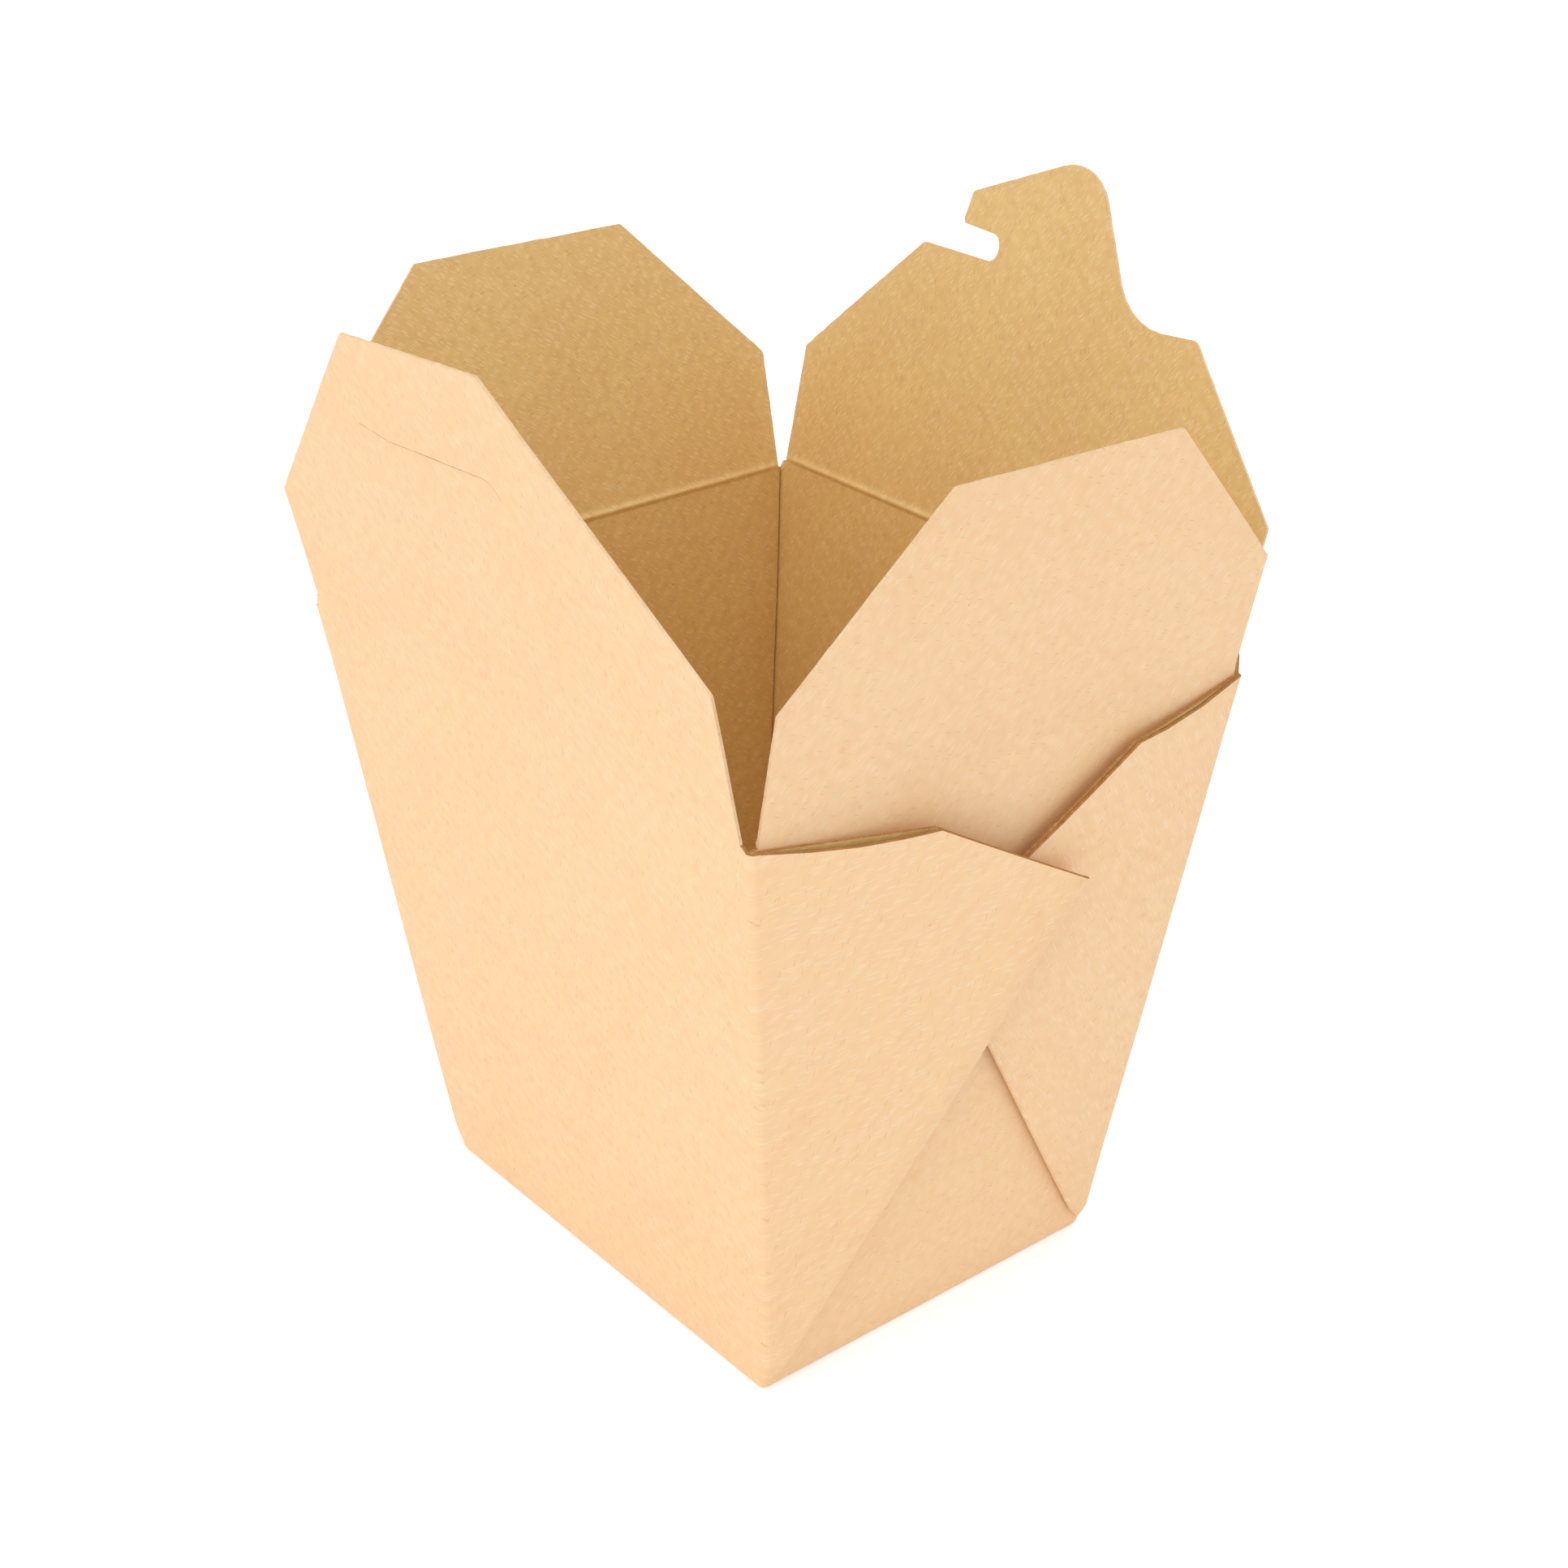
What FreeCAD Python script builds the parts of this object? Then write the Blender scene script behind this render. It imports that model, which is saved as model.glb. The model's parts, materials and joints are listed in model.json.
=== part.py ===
import FreeCAD, Part
import math
import os

# A takeaway box folded from one die-cut sheet of kraft board, with its four lid flaps open.
# Lengths are millimetres, angles are degrees. X runs along the base's long side and +Z is up.
# The origin is the middle of the base's underside. The front wall faces -Y, the right one +X.

# The board, and the outer sizes of the box
BOARD = 0.45
HEIGHT = 101.0
BASE_LENGTH = 80.0
BASE_WIDTH = 65.5
MOUTH_LENGTH = 104.2
MOUTH_WIDTH = 91.8
BASE_BEND = 1.2
PAN_HEIGHT = 3.0

# The corner gussets: a web between two walls, folded in half and turned onto a side wall.
# Two of them cross on each side wall, and the upper one is cut a little longer.
WALL_GAP = 0.2
PLY_GAP = 0.15
SEAM_GAP = 0.15
CORNER_DROP = 1.4
TOP_REACH = 91.0
TOP_PEAK = 27.5
TOP_CURL = 4.0
UNDER_REACH = 87.8
UNDER_PEAK = 22.3
UNDER_LEAVE = 5.5
UNDER_CURL = 8.5
GUSSET_CLEARANCE = 1.0

# The flaps: their creases lie one above the other in the order in which the flaps close
CREASE_STEP = 0.7
CREASE_RUN = 0.3
SIDE_CLEARANCE = 0.45
FRONT_TILT = 12.6
RIGHT_TILT = 11.5
BACK_TILT = 13.3
LEFT_TILT = 14.1
NOTCH_HALF = 0.7
SHOULDER_LOW = 18.6
SHOULDER_HIGH = 20.1
CORNER_ROUND = 0.8

# The front flap's right shoulder, its top edge and its slit
FRONT_SHOULDER = 22.7
FRONT_TOP_LEFT = (-18.7, 52.4)
FRONT_TOP_RIGHT = (14.7, 55.3)
SLIT_WIDTH = 0.4
SLIT_START = (-18.7, 37.4)
SLIT_RISE = 4.3
SLIT_LENGTH = 28.5
SLIT_HOOK = 75.0
SLIT_HOOK_RADIUS = 3.4

# The side flaps' top corners. Seen from outside the box, the first one lies on the right.
RIGHT_TOP = ((19.8, 44.5), (-20.5, 45.9))
LEFT_TOP = ((18.7, 45.7), (-20.1, 45.5))

# The back flap's shoulders, and the hook that goes through the slit
BACK_SHOULDER_LEFT = (-28.5, 42.5)
BACK_SHOULDER_RIGHT = (30.5, 40.6)
HOOK_ROOT = (17.1, 39.6)
HOOK_ROOT_ROUND = 10.0
HOOK_TOP = (4.1, 62.3)
HOOK_TOP_ROUND = 8.0
HOOK_HEEL = (-20.2, 52.2)
HOOK_TIP = (-21.0, 47.1)
NOTCH_END = -12.2
NOTCH_WIDTH = 4.2
NOTCH_ROUND = 2.0

SHOULDER_ROUND = 1.5
TRIM_HEIGHT = 10.0
TOOL_MARGIN = 6.0
CUT_SIDE = 30.0

sin, cos, tan, radians = math.sin, math.cos, math.tan, math.radians
vector = FreeCAD.Vector
MIDDLE = vector(0, 0, 0)


# Half sizes of the box at a height, to the middle of the board
def half_length(z):
    return BASE_LENGTH / 2 + (MOUTH_LENGTH - BASE_LENGTH) / 2 * z / HEIGHT - BOARD / 2


def half_width(z):
    return BASE_WIDTH / 2 + (MOUTH_WIDTH - BASE_WIDTH) / 2 * z / HEIGHT - BOARD / 2


# Angles in the flat sheet: how far each wall's side edge leans, and half of the web between them
SIDE_SLANT = math.hypot(HEIGHT, (MOUTH_LENGTH - BASE_LENGTH) / 2)
END_SLANT = math.hypot(HEIGHT, (MOUTH_WIDTH - BASE_WIDTH) / 2)
SIDE_FLARE = math.atan((MOUTH_WIDTH - BASE_WIDTH) / 2 / SIDE_SLANT)
END_FLARE = math.atan((MOUTH_LENGTH - BASE_LENGTH) / 2 / END_SLANT)
WEB_HALF = (math.pi / 2 - SIDE_FLARE - END_FLARE) / 2
PLY_GROWTH = (tan(WEB_HALF - SIDE_FLARE) + tan(SIDE_FLARE)) * SIDE_SLANT / HEIGHT

# Heights of the creases: the side flaps close first, then the front one, then the back one
FRONT_CREASE = HEIGHT
SIDE_CREASE = HEIGHT - CREASE_STEP
BACK_CREASE = HEIGHT + CREASE_STEP
RIM_TOP = BACK_CREASE + BASE_BEND


# Height of a gusset's tip, where its top edge meets its fold
def tip_height(reach):
    return reach * cos(WEB_HALF - SIDE_FLARE) * HEIGHT / SIDE_SLANT


# Angle at which the upper gusset leaves the wall, so that it passes over the lower one's tip
def top_leave():
    leave, curl = radians(UNDER_LEAVE), radians(UNDER_CURL)
    tip_z = tip_height(UNDER_REACH)
    ply = PLY_GROWTH * tip_z
    under_lift = ply * (cos(leave - curl) - cos(leave)) / curl
    rise = under_lift + 2 * BOARD + PLY_GAP + GUSSET_CLEARANCE
    across = min(2 * half_width(tip_z) - ply, ply)
    return math.degrees(rise / across) + TOP_CURL * across / (2 * ply)


# Outline of a strip of board that runs and bends in a level plane, from a start and a heading.
# A move is (length, 0, 0) for a straight run or (0, turn, radius) for a bend, left being positive.
def strip_wire(start, heading, moves, thickness, z):
    point = vector(start[0], start[1], z)
    sides = {+1: [], -1: []}
    for length, turn, radius in moves:
        here = vector(cos(radians(heading)), sin(radians(heading)), 0)
        left = vector(-here.y, here.x, 0)
        if turn == 0:
            after = point + here * length
            for side, edges in sides.items():
                shift = left * (side * thickness / 2)
                edges.append(Part.LineSegment(point + shift, after + shift).toShape())
            point = after
            continue
        hand = math.copysign(1, turn)
        centre = point + left * (hand * radius)
        spokes = []
        for part in (0, 0.5, 1):
            angle = radians(heading + turn * part)
            spokes.append(vector(sin(angle), -cos(angle), 0) * hand)
        for side, edges in sides.items():
            reach = radius - side * hand * thickness / 2
            edges.append(Part.Arc(*[centre + spoke * reach for spoke in spokes]).toShape())
        point = centre + spokes[2] * radius
        heading += turn
    starts = [sides[side][0].firstVertex(True).Point for side in (-1, 1)]
    ends = [sides[side][-1].lastVertex(True).Point for side in (-1, 1)]
    far_cap = Part.LineSegment(ends[0], ends[1]).toShape()
    near_cap = Part.LineSegment(starts[1], starts[0]).toShape()
    return Part.Wire(sides[-1] + [far_cap] + sides[1][::-1] + [near_cap])


# A quarter of the sheet at one height: half the front wall, the folded web, half the side wall
def quarter_wire(z, ply, leave, curl):
    hairpin = (BOARD + WALL_GAP) / 2
    spacing = BOARD + PLY_GAP
    turned = radians(leave)
    across, along = vector(cos(turned), -sin(turned), 0), vector(sin(turned), cos(turned), 0)
    wall_start = -half_width(z) + BOARD + SEAM_GAP + hairpin
    inner_root = vector(half_length(z) + hairpin, wall_start, 0) + across * hairpin
    outer_root = inner_root + across * spacing
    tangent = (outer_root.y + half_width(z)) / cos(turned)
    corner_x = outer_root.x - along.x * tangent
    inner_length = ply - spacing / 2
    turn = math.degrees(inner_length * radians(curl) / (PLY_GROWTH * z))
    inner_radius = inner_length / radians(turn)
    moves = [
        (corner_x - tangent, 0, 0),
        (0, 90 - leave, tangent / tan(radians(45 - leave / 2))),
        (0, turn, inner_radius + spacing),
        (0, 180, spacing / 2),
        (0, -turn, inner_radius),
        (0, leave - 180, hairpin),
        (-wall_start, 0, 0),
    ]
    return strip_wire((0, -half_width(z)), 0, moves, BOARD, z)


# Point on the right wall's outer face, from the front bottom corner: along the wall's front edge
# and across from it
def on_right_wall(across, along, off):
    side = across * cos(SIDE_FLARE) - along * sin(SIDE_FLARE)
    up = across * sin(SIDE_FLARE) + along * cos(SIDE_FLARE)
    lean = math.atan2((MOUTH_LENGTH - BASE_LENGTH) / 2, HEIGHT)
    face = vector(BASE_LENGTH / 2, side - BASE_WIDTH / 2, 0)
    return face + vector(sin(lean), 0, cos(lean)) * up + vector(cos(lean), 0, -sin(lean)) * off


# The waste above a gusset's top edge, which falls to a peak and then to the fold at a right angle
def gusset_waste(reach, peak):
    fold = (sin(WEB_HALF), cos(WEB_HALF))
    tip = (reach * fold[0], reach * fold[1])
    past = (tip[0] + TOOL_MARGIN * fold[1], tip[1] - TOOL_MARGIN * fold[0])
    peak_along = (reach - peak * fold[0]) / fold[1]
    corner = math.hypot(SIDE_SLANT, (MOUTH_WIDTH - BASE_WIDTH) / 2) - CORNER_DROP
    top = corner + TRIM_HEIGHT
    outline = [(-TOOL_MARGIN, corner), (0, corner), (peak, peak_along), past]
    outline += [(past[0], top), (-TOOL_MARGIN, top)]
    points = [on_right_wall(across, along, WALL_GAP / 2) for across, along in outline]
    face = Part.Face(Part.makePolygon(points + points[:1]))
    out = on_right_wall(0, 0, 1) - on_right_wall(0, 0, 0)
    return face.extrude(out * CUT_SIDE)


# A quarter of the box with its gusset cut to shape, and its walls cut at their creases
def quarter(leave, curl, reach, peak, end_crease):
    tip_z = tip_height(reach)
    levels = [
        (PAN_HEIGHT, PLY_GROWTH * PAN_HEIGHT),
        (tip_z, PLY_GROWTH * tip_z + BOARD),
        (RIM_TOP, peak + TOOL_MARGIN / 2),
    ]
    wires = [quarter_wire(z, ply, leave, curl) for z, ply in levels]
    sheet = Part.makeLoft(wires, True, True)
    split = half_width(HEIGHT) - BOARD / 2 - SEAM_GAP / 2
    end_rim = Part.makeBox(MOUTH_LENGTH, CUT_SIDE, TRIM_HEIGHT)
    end_rim.translate(vector(-TOOL_MARGIN, -split - CUT_SIDE, end_crease - CREASE_RUN))
    side_rim = Part.makeBox(MOUTH_LENGTH, split + TOOL_MARGIN, TRIM_HEIGHT)
    side_rim.translate(vector(0, -split, SIDE_CREASE - CREASE_RUN))
    return sheet.cut([gusset_waste(reach, peak), end_rim, side_rim])


# A frustum with rounded edges: the pan's outside, or its inside when drawn in by the board
def pan_solid(inset, low, high, base_round, edge_round):
    corners = []
    for z in (low, high):
        x = half_length(z) + BOARD / 2 - inset
        y = half_width(z) + BOARD / 2 - inset
        corners.append([vector(i * x, j * y, z) for i, j in ((1, 1), (-1, 1), (-1, -1), (1, -1))])
    wires = [Part.makePolygon(ring + ring[:1]) for ring in corners]
    body = Part.makeLoft(wires, True, True)
    uprights = [e for e in body.Edges if abs(e.Vertexes[0].Z - e.Vertexes[1].Z) > (high - low) / 2]
    body = body.makeFillet(edge_round, uprights)
    rim = [e for e in body.Edges if e.BoundBox.ZMax < low + 0.01]
    return body.makeFillet(base_round, rim)


# The bottom panel with the first millimetres of the walls, and the folds between them
def pan():
    outside = pan_solid(0, 0, PAN_HEIGHT, BASE_BEND, BASE_BEND)
    hollow = pan_solid(BOARD, BOARD, PAN_HEIGHT + 1, BASE_BEND - BOARD, BASE_BEND - BOARD)
    return outside.cut(hollow)


# A closed outline in a flap's own plane from (across, up, rounding) corners, anticlockwise
def rounded_wire(corners, place):
    edges = []
    ends = []
    count = len(corners)
    for i, (across, up, rounding) in enumerate(corners):
        here = vector(across, up, 0)
        before = vector(corners[i - 1][0], corners[i - 1][1], 0)
        after = vector(corners[(i + 1) % count][0], corners[(i + 1) % count][1], 0)
        back, on = (before - here).normalize(), (after - here).normalize()
        half = back.getAngle(on) / 2
        reach = rounding / tan(half)
        middle = here + (back + on).normalize() * (rounding / sin(half) - rounding)
        ends.append((here + back * reach, middle, here + on * reach, rounding))
    for i, (first, middle, last, rounding) in enumerate(ends):
        if rounding > 0:
            edges.append(Part.Arc(place(first), place(middle), place(last)).toShape())
        edges.append(Part.LineSegment(place(last), place(ends[(i + 1) % count][0])).toShape())
    return Part.Wire(edges)


# A flap of board on its crease: crease is the middle of the hinge line, across its direction,
# up the way the flap stands
def flap(corners, crease, across, up):
    normal = across.cross(up)

    def place(point):
        return crease + across * point.x + up * point.y - normal * (BOARD / 2)

    return Part.Face(rounded_wire(corners, place)).extrude(normal * BOARD)


# Half widths of the flaps, clear of the walls beside them
def end_half():
    return half_length(SIDE_CREASE) - BOARD / 2 - SIDE_CLEARANCE


def side_half():
    return half_width(HEIGHT) - BOARD / 2 - SIDE_CLEARANCE


# The corners that the front and back flaps share: the crease and the two shoulders
def end_foot():
    half = end_half()
    low = half - NOTCH_HALF
    return [(-low, CREASE_RUN, 0), (low, CREASE_RUN, 0)], half


def front_flap():
    foot, half = end_foot()
    corners = foot + [
        (half, FRONT_SHOULDER, CORNER_ROUND),
        (*FRONT_TOP_RIGHT, CORNER_ROUND),
        (*FRONT_TOP_LEFT, CORNER_ROUND),
        (-half, SHOULDER_LOW, CORNER_ROUND),
    ]
    lean = radians(FRONT_TILT)
    crease = vector(0, -half_width(FRONT_CREASE), FRONT_CREASE)
    across, up = vector(1, 0, 0), vector(0, -sin(lean), cos(lean))
    board = flap(corners, crease, across, up)
    moves = [(SLIT_LENGTH, 0, 0), (0, -SLIT_HOOK, SLIT_HOOK_RADIUS)]
    wire = strip_wire(SLIT_START, SLIT_RISE, moves, SLIT_WIDTH, -BOARD)
    slit = Part.Face(wire).extrude(vector(0, 0, 2 * BOARD))
    turn = FreeCAD.Rotation(across, up, across.cross(up), "XYZ")
    slit.Placement = FreeCAD.Placement(crease, turn)
    return board.cut(slit)


def side_flap(tilt, top):
    half = side_half()
    low = half - NOTCH_HALF
    corners = [
        (-low, CREASE_RUN, 0),
        (low, CREASE_RUN, 0),
        (half, SHOULDER_LOW, CORNER_ROUND),
        (*top[0], CORNER_ROUND),
        (*top[1], CORNER_ROUND),
        (-half, SHOULDER_HIGH, CORNER_ROUND),
    ]
    lean = radians(tilt)
    crease = vector(half_length(SIDE_CREASE), 0, SIDE_CREASE)
    return flap(corners, crease, vector(0, 1, 0), vector(sin(lean), 0, cos(lean)))


def back_flap():
    foot, half = end_foot()
    notch_top = BACK_SHOULDER_LEFT[1] + NOTCH_WIDTH
    corners = foot + [
        (half, SHOULDER_LOW, CORNER_ROUND),
        (*BACK_SHOULDER_RIGHT, SHOULDER_ROUND),
        (*HOOK_ROOT, HOOK_ROOT_ROUND),
        (*HOOK_TOP, HOOK_TOP_ROUND),
        (*HOOK_HEEL, CORNER_ROUND),
        (*HOOK_TIP, CORNER_ROUND),
        (NOTCH_END, notch_top, NOTCH_ROUND),
        (NOTCH_END, BACK_SHOULDER_LEFT[1], NOTCH_ROUND),
        (*BACK_SHOULDER_LEFT, SHOULDER_ROUND),
        (-half, SHOULDER_HIGH, CORNER_ROUND),
    ]
    lean = radians(BACK_TILT)
    crease = vector(0, half_width(BACK_CREASE), BACK_CREASE)
    return flap(corners, crease, vector(1, 0, 0), vector(0, sin(lean), cos(lean)))


# A shape turned half round the box's upright axis
def turned(shape):
    return shape.rotated(MIDDLE, vector(0, 0, 1), 180)


# The whole sheet below the creases: the pan and four quarters, two of them turned half round
def carton():
    def over(crease):
        return quarter(top_leave(), TOP_CURL, TOP_REACH, TOP_PEAK, crease)

    def under(crease):
        sheet = quarter(UNDER_LEAVE, UNDER_CURL, UNDER_REACH, UNDER_PEAK, crease)
        return sheet.mirror(MIDDLE, vector(0, 1, 0))

    right_side = [over(FRONT_CREASE), under(BACK_CREASE)]
    left_side = [turned(over(BACK_CREASE)), turned(under(FRONT_CREASE))]
    return pan().fuse(right_side + left_side).removeSplitter()


PIECES = {
    "carton": carton(),
    "front_flap": front_flap(),
    "right_flap": side_flap(RIGHT_TILT, RIGHT_TOP),
    "back_flap": back_flap(),
    "left_flap": turned(side_flap(LEFT_TILT, LEFT_TOP)),
}

os.makedirs("parts", exist_ok=True)
for name, shape in PIECES.items():
    solids = shape.Solids
    print(name, shape.ShapeType, len(solids), shape.isValid(), round(shape.Volume, 1))
    shape.exportStep("parts/" + name + ".step")
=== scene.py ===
# %% [markdown]
# # A kraft takeaway box, folded from one sheet of board
#
# The real box starts as one flat die-cut sheet. A press scores it with creases, a machine folds the
# four walls up and turns the webs between them round the corners, where glue holds them, and four
# flaps stay loose on top. So this scene is built like the sheet too. Every surface here knows where
# it lies on the flat sheet, and the paper's grain follows that, across every fold.
#
# The first step loads the measured model, which says where each piece is and which crease it
# turns on.

# %% Load the box's frame
import bmesh
import bpy
import json
import math
from mathutils import Matrix, Vector, noise
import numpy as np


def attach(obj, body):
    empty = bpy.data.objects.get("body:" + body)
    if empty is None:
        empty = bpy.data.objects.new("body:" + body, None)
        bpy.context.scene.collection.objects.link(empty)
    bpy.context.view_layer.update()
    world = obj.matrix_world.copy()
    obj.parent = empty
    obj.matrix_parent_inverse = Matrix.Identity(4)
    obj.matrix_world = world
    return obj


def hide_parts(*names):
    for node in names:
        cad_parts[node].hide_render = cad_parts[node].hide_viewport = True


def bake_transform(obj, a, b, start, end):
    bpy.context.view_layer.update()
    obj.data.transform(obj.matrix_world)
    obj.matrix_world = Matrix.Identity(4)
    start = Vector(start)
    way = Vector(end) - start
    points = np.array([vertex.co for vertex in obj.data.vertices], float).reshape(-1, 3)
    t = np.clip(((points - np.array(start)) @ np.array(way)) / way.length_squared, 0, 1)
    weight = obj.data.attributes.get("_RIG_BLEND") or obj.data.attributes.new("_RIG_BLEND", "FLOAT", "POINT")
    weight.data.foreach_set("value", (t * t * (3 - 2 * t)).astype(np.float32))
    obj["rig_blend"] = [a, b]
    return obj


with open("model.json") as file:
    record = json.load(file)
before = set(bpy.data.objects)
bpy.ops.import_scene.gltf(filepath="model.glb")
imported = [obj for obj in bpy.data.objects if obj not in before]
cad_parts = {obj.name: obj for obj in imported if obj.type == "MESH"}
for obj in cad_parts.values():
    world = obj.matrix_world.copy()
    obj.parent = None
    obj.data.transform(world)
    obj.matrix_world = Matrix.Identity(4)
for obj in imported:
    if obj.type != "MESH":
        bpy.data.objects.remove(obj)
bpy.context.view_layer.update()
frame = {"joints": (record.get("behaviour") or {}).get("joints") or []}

MM = 0.001
creases = {joint["name"]: Vector(joint["pos_m"]) / MM for joint in frame["joints"]}
for name, place in creases.items():
    print(name, "lies at", [round(value, 2) for value in place], "mm")

# %% [markdown]
# ## Camera
#
# A photo's viewpoint can be worked out from a few corners of the thing in it. The box's creases
# and base corners gave this one: the camera stands 44 cm from the middle of the base, looks down
# by 27 degrees, and is turned half a degree about its own axis. Three plain rotations say that
# more clearly than a matrix.

# %% Camera
EYE = Vector((0.27455, -0.22453, 0.25592))
AZIMUTH, ELEVATION, ROLL = 50.28, 27.10, 0.49
FOCAL_PIXELS = 3224.3
PHOTO_PIXELS = 1932
SENSOR = 36

camera = bpy.data.objects.new("camera", bpy.data.cameras.new("camera"))
camera.data.sensor_width = SENSOR
camera.data.lens = FOCAL_PIXELS / PHOTO_PIXELS * SENSOR
turns = [("Z", AZIMUTH), ("X", 90 - ELEVATION), ("Z", ROLL)]
aim = Matrix.Identity(4)
for axis, degrees in turns:
    aim = aim @ Matrix.Rotation(math.radians(degrees), 4, axis)
camera.matrix_world = Matrix.Translation(EYE) @ aim
bpy.context.scene.collection.objects.link(camera)
bpy.context.scene.camera = camera
print("the camera's lens is", round(camera.data.lens, 2), "mm")

# %% [markdown]
# ## The sheet's own sizes
#
# The walls lean outwards, so the box is a little wider at its creases than at its base. The creases
# are known from the frame. With the size of the base they give the lean of each wall, and with that
# the angles in the flat sheet: how far each wall's side edges flare, and how wide the web between
# two walls is. A web is folded in half, and each half is called a ply here.

# %% Sizes of the sheet, in millimetres
BOARD = 0.45
BASE_LENGTH, BASE_WIDTH = 80, 65.5
BASE_BEND = 1.2
CREASE_RUN = 0.3
WALL_GAP, PLY_GAP, SEAM_GAP = 0.2, 0.15, 0.15

base_x = (BASE_LENGTH - BOARD) / 2
base_y = (BASE_WIDTH - BOARD) / 2
flare_x = (creases["right_crease"].x - base_x) / creases["right_crease"].z
flare_y = (-creases["front_crease"].y - base_y) / creases["front_crease"].z
side_slant, end_slant = math.hypot(1, flare_x), math.hypot(1, flare_y)
side_edge, end_edge = math.atan(flare_y / side_slant), math.atan(flare_x / end_slant)
web_half = (math.pi / 2 - side_edge - end_edge) / 2
ply_slope = math.tan(web_half - side_edge) + math.tan(side_edge)
print("half of a web spans", round(math.degrees(web_half), 1), "degrees of the flat sheet")

# %% [markdown]
# ## How a web's top edge is cut
#
# A web isn't as tall as the walls. From the box's corner its edge falls a little to a corner of its
# own, called the peak here, and from there it runs square to the fold. Both plies are cut alike,
# since they are one web folded in half. The web that lies on top is cut longer than the one under
# it, so a cut has three numbers: how far the web reaches along its fold, how far its peak lies from
# the box's corner, and how far the edge starts below the crease. The first run is slightly hollow.
# The helper below gives the edge's height between the box's corner (0) and the fold (1).

# %% The web's cut edge
OVER_CUT, UNDER_CUT = (90.8, 28.8, 1.0), (86.9, 21.0, 2.4)
EDGE_HOLLOW, OUTER_HOLLOW = 0.35, 0.85

fold_across, fold_along = math.sin(web_half), math.cos(web_half)
knee_along = creases["front_crease"].z * math.hypot(side_slant, flare_y)


def web_peak(reach, peak):
    along = (reach - peak * fold_across) / fold_along
    share = peak / along / ply_slope / math.cos(side_edge)
    return along, share / (math.cos(side_edge) + peak / along * math.sin(side_edge))


def web_top(share, reach, peak, drop, hollow=EDGE_HOLLOW):
    corner_along = knee_along - drop
    peak_along, peak_share = web_peak(reach, peak)
    across = share * ply_slope * math.cos(side_edge)
    along = 1 / math.cos(side_edge) - share * ply_slope * math.sin(side_edge)
    fall = (peak_along - corner_along) / peak
    falling = corner_along / (along - fall * across)
    square = reach / (fold_across * across + fold_along * along)
    dip = hollow * math.sin(math.pi * min(1, share / peak_share))
    return (min(falling, square) - dip) / side_slant


for cut in (OVER_CUT, UNDER_CUT):
    places = (0, web_peak(*cut[:2])[1], 1)
    print("a web's edge stands at", [round(web_top(share, *cut), 1) for share in places], "mm")

# %% [markdown]
# ## A level line round the box
#
# Slice the folded box level at any height and the sheet shows as one line. From the middle of an
# end wall it runs to the corner, bends, runs along the outer ply, turns back at the fold, returns
# along the inner ply, turns round into the side wall and runs to its middle. A line like that is
# easy to walk: each move is a length and a turn, and a step along an arc is its chord. Near the
# base corner the plies shrink to nothing, so their gaps and lengths are eased in over the first
# millimetres. Near its root the inner ply is pressed against the wall, which opens a gap between
# the two plies.

# %% Walking round a quarter of the box
PLY_EASE = 4
OVER_LEAVE, OVER_CURL, OVER_PRESSED = 7.25, 4.0, 0.2
UNDER_LEAVE, UNDER_CURL, UNDER_PRESSED = 5.5, 8.5, 0.75
PRESSED_END = 0.6
FOLD_RADIUS = BASE_BEND - BOARD / 2
FOLD_STEPS = 6
INNER_PLY = 4
STRAIGHT = 1e-6

fold_turn = math.pi / 2 - math.atan(flare_y)
fold_top = BOARD / 2 + FOLD_RADIUS * (1 - math.cos(fold_turn))


def ease(value):
    value = min(1, max(0, value))
    return value * value * (3 - 2 * value)


def step(length, turn, heading):
    chord = length if abs(turn) < STRAIGHT else 2 * length / turn * math.sin(turn / 2)
    middle = heading + turn / 2
    return Vector((math.cos(middle), math.sin(middle))) * chord


def opened_at(z):
    return ease((z - fold_top) / PLY_EASE)


def quarter_moves(z, inset, leave, curl):
    opened = opened_at(z)
    ply = ply_slope * side_slant * z * opened
    hairpin = (BOARD + WALL_GAP) / 2 * opened
    spacing = (BOARD + PLY_GAP) * opened
    half_x, half_y = base_x + flare_x * z - inset, base_y + flare_y * z - inset
    across = Vector((math.cos(leave), -math.sin(leave)))
    wall_start = BOARD + SEAM_GAP + hairpin - half_y
    outer_root = Vector((half_x + hairpin, wall_start)) + across * (hairpin + spacing)
    tangent = (outer_root.y + half_y) / math.cos(leave)
    corner = outer_root.x - math.sin(leave) * tangent
    radius = tangent / math.tan(math.pi / 4 - leave / 2)
    inner = max(0, ply - spacing / 2 - (wall_start + half_y) * opened)
    turn = curl * inner / max(ply, MM)
    outer = inner + turn * spacing
    bend = math.pi / 2 - leave
    moves = [(corner - tangent, 0), (radius * bend, bend), (outer, turn)]
    moves += [(math.pi * spacing / 2, math.pi), (inner, -turn)]
    moves += [(hairpin * (math.pi - leave), leave - math.pi), (-wall_start, 0)]
    return half_y, moves


def on_quarter(part, share, z, inset, leave, curl, pressed):
    half_y, moves = quarter_moves(z, inset, leave, curl)
    point, heading = Vector((0, -half_y)), 0
    for length, turn in moves[:part]:
        point += step(length, turn, heading)
        heading += turn
    length, turn = moves[part]
    point += step(length * share, turn * share, heading)
    if part == INNER_PLY:
        root = base_x + flare_x * z - inset + (BOARD + WALL_GAP) * opened_at(z)
        freed = ease((1 - share) / PRESSED_END)
        point.x = root + (point.x - root) * (pressed + (1 - pressed) * freed)
    return point


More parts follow.
